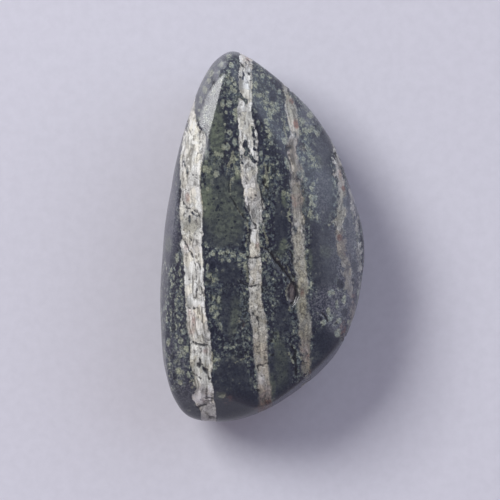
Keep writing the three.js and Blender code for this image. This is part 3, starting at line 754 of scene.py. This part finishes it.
def ground_colour(nodes, place):
    """The dark ground: sage grains with navy between them, smooth dark patches, and a pale painted haze on
    the sides.
    """
    bent = place.bent(0.3)
    fine = place.noise(0.19, 3, 0.65)
    wear = (place.noise(0.3, 3, 0.6) - 0.5) * 0.8
    patches = (place.noise(1.7) - 0.5) * 0.8
    grainy, navy, olive, pink, streaky, faint = nodes.values("grainy navy olive pink streaky faint")
    strand, grain, blot, smooth = nodes.values("strand grain blot smooth")
    share = patches + wear + navy * -0.3 + olive * 0.06
    large = bent.scaled(1, 0.82, 0.82).grains(LARGE_GRAIN, 0.34) + share + grainy * 0.29 + 0.23
    small = bent.moved((7, 3, 5)).scaled(1, 0.6, 0.6).grains(SMALL_GRAIN, 0.5)
    worms = bent.moved((3, 9, 1)).scaled(1, 0.36, 0.8).grains(WORM, 0.6)
    small = small + (worms - small) * streaky + share + 0.5

    hue = place.noise(0.6, 3, 0.6).fade(0.38, 0.62)
    creases = bent.cells(GROUND_CREASE, "DISTANCE_TO_EDGE")
    middle = nodes.blend(hue, tone(75, 83, 89), tone(92, 99, 96))
    pale = nodes.blend(hue, tone(121, 130, 123), tone(147, 151, 134))
    pale = nodes.blend(olive * 0.7, pale, tone(134, 138, 115))
    pale = pale.dim(fine.fade(0.3, 0.7, 0.8, 1.12))
    # A pale bluish haze painted over the grains, standing in for the sheen of reflected light on the stone's
    # sides.
    painted_haze_colour = nodes.blend(hue, tone(66, 72, 85), tone(86, 90, 97))
    painted_haze_colour = nodes.blend(creases.fade(0, 0.13, 0.8, 0), painted_haze_colour, tone(44, 47, 60))
    coarse = nodes.layers(
        tone(39, 41, 53),
        (hue, tone(54, 57, 66)),
        (grainy * 0.7, tone(58, 63, 74)),
        (olive * 0.6, tone(55, 60, 57)),
        (small.fade(-0.06, 0.08), middle),
        (small.fade(0.2, 0.36) * streaky.fade(0, 1, 0.3, 0.9), pale),
        (large.fade(-0.12, 0), middle),
        (large.fade(0.02, 0.16), pale),
        (creases.fade(0, 0.08, 0.6, 0), tone(36, 39, 51)),
        (faint * 0.65, painted_haze_colour),
    )
    calm = nodes.layers(
        tone(46, 50, 60),
        (hue, tone(60, 64, 71)),
        (olive * hue.fade(0, 1, 0.55, 1.15), tone(99, 107, 92)),
        (navy * 0.8, tone(38, 42, 54)),
        (large.fade(0.1, 0.3) * 0.25, pale),
    )
    # A bluish-grey mottle that is part of the same painted haze.
    painted_haze_mottle = nodes.blend(fine.fade(0.42, 0.6), tone(56, 61, 77), tone(109, 108, 113))
    smooth = (smooth + wear).fade(0.2, 0.7)
    pits = (place.cells(0.5) + wear * 0.3).fade(0.14, 0.24, 0.6, 0)
    strand = (strand + wear * 0.5 + (fine - 0.5) * 0.4).fade(-0.05, 0.06)
    colour = nodes.layers(
        coarse,
        (smooth * 0.92, calm),
        (faint * 0.6, painted_haze_mottle),
        ((grain + wear).fade(-0.05, 0.3) * 0.8, pale),
        ((blot + wear).fade(-0.05, 0.3) * 0.85, tone(34, 38, 50)),
        (pits, tone(36, 39, 50)),
        (strand * 0.7, tone(126, 128, 111)),
    )
    specks = fine.fade(0.22, 0.78, -1, 1) * smooth.fade(0, 1, 0.52, 0.26) + 1
    return nodes.blend(pink * 0.6 * hue, colour.dim(specks), tone(108, 84, 80))


def seam_colour(nodes, place, fibre_place):
    """The pale seams: lumps of silky fibres in cream, grey and pink, with painted highlights, painted shade
    in their creases and a painted haze, and how far each stands up.
    """
    bent = place.bent(0.2).scaled(1, 0.62, 0.62)
    lot = bent.cells(SEAM_LUMP, output="Color")
    bright = nodes.add("SeparateColor", lot)
    tint = nodes.add("SeparateColor", lot, output=1)
    creases = bent.cells(SEAM_LUMP, "DISTANCE_TO_EDGE")
    cloud = place.scaled(1, 0.75, 0.75).noise(0.36, 4, 0.65)
    fine = place.scaled(1, 0.7, 0.7).noise(0.13, 2, 0.6)
    fibres = fibre_place.scaled(0.85, 0.4, 0.4).noise(1, 3, 0.55)
    fibrous, fleck, pale, pink, olive = nodes.values("fibrous fleck pale pink olive")
    dull, silk, faint = nodes.values("dull silk faint")
    silky = place.noise(2.4).fade(0.4, 0.62, 0.1, 0.45) + fibrous
    dull = (dull + (cloud - 0.5) * 1.6).fade(0.15, 0.75)
    silk = (silk + (cloud - 0.5) * 0.9).fade(-0.03, 0.04)
    lumps = (cloud - 0.5) * 0.75 + (bright - 0.5) * 0.16 + (fine - 0.5) * 0.42
    level = lumps * fibrous.fade(0, 1, 1, 0.6) + (fibres - 0.5) * silky * 1.05
    level = level + fleck * 0.1 + dull * -0.06
    # Darker lines along the borders of the lumps, painted in the shade colour as shade in the creases between
    # them.
    crease_shade = creases.fade(0, 0.09, 1, 0) * cloud.fade(0.44, 0.56) * 0.6
    dots = place.scaled(1, 0.8, 0.8).cells(0.62) + (cloud - 0.5) * 0.7

    light = nodes.blend(pale, tone(129, 126, 118), tone(249, 252, 246))
    shade = nodes.blend(pale, tone(52, 52, 54), tone(125, 125, 121))
    shade = nodes.blend(fibrous * 0.6, shade, nodes.blend(pale, tone(70, 68, 66), tone(148, 147, 138)))
    colour = nodes.layers(
        shade,
        (level.fade(-0.15, 0), nodes.blend(pale, tone(91, 90, 86), tone(205, 206, 199))),
        (level.fade(0.02, 0.17), light),
        (dull * 0.6, nodes.blend(pale, tone(70, 74, 76), tone(142, 146, 140))),
        (crease_shade, shade),
        # Painted highlight on the white flecks.
        (fleck * 0.5, light),
        # Painted highlight: white lines where the fibres catch the light.
        (silk * 0.75, nodes.blend(0.5, light, tone(226, 225, 219))),
    )
    colour = nodes.blend(tint.fade(0.3, 1), colour, tone(255, 251, 241), "MULTIPLY")
    colour = nodes.blend(pink * cloud.fade(0.35, 0.6, 0.5, 1.3), colour, tone(204, 166, 162), "MULTIPLY")
    colour = nodes.blend(olive, colour, tone(224, 220, 180), "MULTIPLY")
    colour = nodes.layers(
        colour,
        (dots.fade(0.06, 0.16, 1, 0) * 0.6, tone(84, 82, 82)),
        # The same pale bluish haze painted over the seams, as painted reflection.
        (faint * 0.5, tone(98, 96, 103)),
    )
    return colour, level * fibrous.fade(0, 1, 1, 0.5)


def new_material(name):
    material = bpy.data.materials.new(name)
    material.use_nodes = True
    return material, Nodes(material.node_tree), material.node_tree.nodes["Principled BSDF"]


def serpentine_material():
    material, nodes, surface = new_material("serpentine")
    inside, offset, pale, faint = nodes.values("seam offset pale faint")
    broken, hollow, crack, matt = nodes.values("broken hollow crack matt")
    place = nodes.add("TexCoord", output="Object").scaled(1 / MM, 1 / MM, 1 / MM)
    y, z = (nodes.add("SeparateXYZ", place, output=axis) * (1 / FIBRE_LENGTH) for axis in "YZ")
    fibre_place = nodes.add("CombineXYZ", offset * (1 / FIBRE_WIDTH), y, z)
    edge = place.scaled(1, 0.6, 0.6).noise(0.32, 4, 0.65)
    crackle = place.noise(0.25)

    seam, roughcast = seam_colour(nodes, place, fibre_place)
    margin = inside + (edge - 0.5) * faint.fade(0, 1, 0.55, 1.5)
    holes = place.scaled(1, 0.6, 0.6).noise(0.75, 3, 0.6).fade(0.4, 0.56, -0.75, 0)
    margin = margin + holes * broken
    softness = pale.fade(0.4, 0.85, 0.13, 0)
    in_seam = margin.fade(softness * -1 - 0.05, softness + 0.07)
    # A dark line painted just outside each seam's edges, as painted shade along them.
    seam_edge_shade = margin.fade(-0.28, -0.04) * edge.fade(0.42, 0.6) * 0.55
    seam_edge_shade = seam_edge_shade * softness.fade(0, 0.13, 1, 0.3)
    crack = (crack + (crackle - 0.5) * 0.14).fade(-0.06, 0.04)
    hollow_colour = nodes.blend(edge.fade(0.35, 0.65), tone(50, 46, 52), tone(104, 95, 90))
    colour = nodes.layers(
        ground_colour(nodes, place),
        (seam_edge_shade, tone(34, 36, 46)),
        (in_seam, seam),
        (hollow * 0.9, hollow_colour),
        (crack * 0.9, tone(24, 26, 32)),
        # A pale painted sheen laid over the colour where the polish is duller. The roughness below is raised
        # there too.
        (matt * 0.16, tone(190, 191, 198)),
    )
    nodes.put(surface.inputs["Base Color"], colour)
    roughness = in_seam.fade(0, 1, 0.22, 0.36) + crack * 0.06 + (crackle - 0.5) * 0.1 + matt * 0.22
    nodes.put(surface.inputs["Roughness"], roughness)
    surface.inputs["IOR"].default_value = 1.56

    fibres = fibre_place.scaled(1.6, 1.2, 1.2).noise(1, 3, 0.6)
    grit = place.noise(0.14, 2, 0.6)
    height = fibres * in_seam * 0.04 + roughcast * in_seam * 0.14 + grit * 0.016
    nodes.put(surface.inputs["Normal"], nodes.add("Bump", 1, MM, None, height))
    return material


def build_stone():
    mesh = divided_copy()
    mesh.name = PIECE
    points = worn_form(crowded_rays(read_vectors(mesh, "co") / MM))
    write_points(mesh, points)
    depth, fields = surface_fields(points)
    write_points(mesh, points - read_vectors(mesh, "normal") * depth[:, None])
    for name, values in fields.items():
        attribute = mesh.attributes.new(name, "FLOAT", "POINT")
        attribute.data.foreach_set("value", values.astype(np.float32))
    mesh.shade_smooth()
    mesh.materials.append(serpentine_material())
    stone = add_object(PIECE, mesh)
    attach(stone, "root")
    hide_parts(CAD_NODE)


# ----------------
# The paper, the light and the camera.

PAPER_SIZE = 4.0  # m
PAPER_GRAIN = 1.1  # mm
WINDOW_AZIMUTH = 141  # anticlockwise from +X, in degrees
WINDOW_ELEVATION = 45
WINDOW_DISTANCE = 0.8  # m, as are its sides
WINDOW_WIDTH = 0.4
WINDOW_TALL = 0.36
WINDOW_POWER = 5.5
BRIGHT_WALL = (36, 64)  # azimuth, and degrees down from straight up
CAMERA_HEIGHT = 0.6  # m above the stone's waist
SENSOR = 36


def make_paper():
    mesh = bpy.data.meshes.new("paper")
    half = PAPER_SIZE / 2
    corners = [(-half, -half, 0), (half, -half, 0), (half, half, 0), (-half, half, 0)]
    mesh.from_pydata(corners, [], [(0, 1, 2, 3)])
    material, nodes, surface = new_material("paper")
    place = nodes.add("TexCoord", output="Object")
    felt = place.noise(PAPER_GRAIN * MM, 4, 0.6).fade(0.25, 0.75)
    nodes.put(surface.inputs["Base Color"], nodes.blend(felt, (0.6, 0.598, 0.65, 1), (0.632, 0.63, 0.684, 1)))
    surface.inputs["Roughness"].default_value = 0.9
    surface.inputs["Specular IOR Level"].default_value = 0.2
    mesh.materials.append(material)
    add_object("paper", mesh)


def make_window():
    lamp = bpy.data.lights.new("window", "AREA")
    lamp.shape = "RECTANGLE"
    lamp.size = WINDOW_WIDTH
    lamp.size_y = WINDOW_TALL
    lamp.energy = WINDOW_POWER
    window = add_object("window", lamp)
    away = Vector(outwards(WINDOW_AZIMUTH, 90 - WINDOW_ELEVATION))
    window.location = away * WINDOW_DISTANCE
    window.rotation_euler = away.to_track_quat("Z", "Y").to_euler()
    window.visible_camera = False


def make_room():
    """The rest of the room: dim overhead, paler towards the walls and brightest to the right."""
    world = bpy.data.worlds.new("room")
    world.use_nodes = True
    bpy.context.scene.world = world
    nodes = Nodes(world.node_tree)
    background = world.node_tree.nodes["Background"]
    direction = nodes.add("TexCoord", output="Generated")
    towards = tuple(outwards(*BRIGHT_WALL))
    facing = nodes.add("VectorMath", direction, towards, operation="DOT_PRODUCT", output="Value")
    wall = facing.fade(0.7, 0.97, 0, 1.25)
    upwards = nodes.add("SeparateXYZ", direction, output="Z")
    colour = nodes.blend(wall, (1.03, 0.9, 1.09, 1), (0.85, 0.92, 1.1, 1))
    nodes.put(background.inputs["Color"], colour)
    nodes.put(background.inputs["Strength"], upwards.fade(0.35, 0.97, 0.42, 0.12) + wall)


def make_camera():
    data = bpy.data.cameras.new("camera")
    data.sensor_width = SENSOR
    data.lens = SENSOR * CAMERA_HEIGHT / (PICTURE * PIXEL * MM)
    data.clip_start = 0.01
    data.clip_end = 10
    camera = add_object("camera", data)
    x = (PICTURE / 2 - ORIGIN_X) * PIXEL * MM
    y = (ORIGIN_Y - PICTURE / 2) * PIXEL * MM
    camera.location = (x, y, WAIST_HEIGHT * MM + CAMERA_HEIGHT)
    bpy.context.scene.camera = camera


build_stone()
make_paper()
make_window()
make_room()
make_camera()
bpy.context.scene.view_settings.view_transform = "Standard"
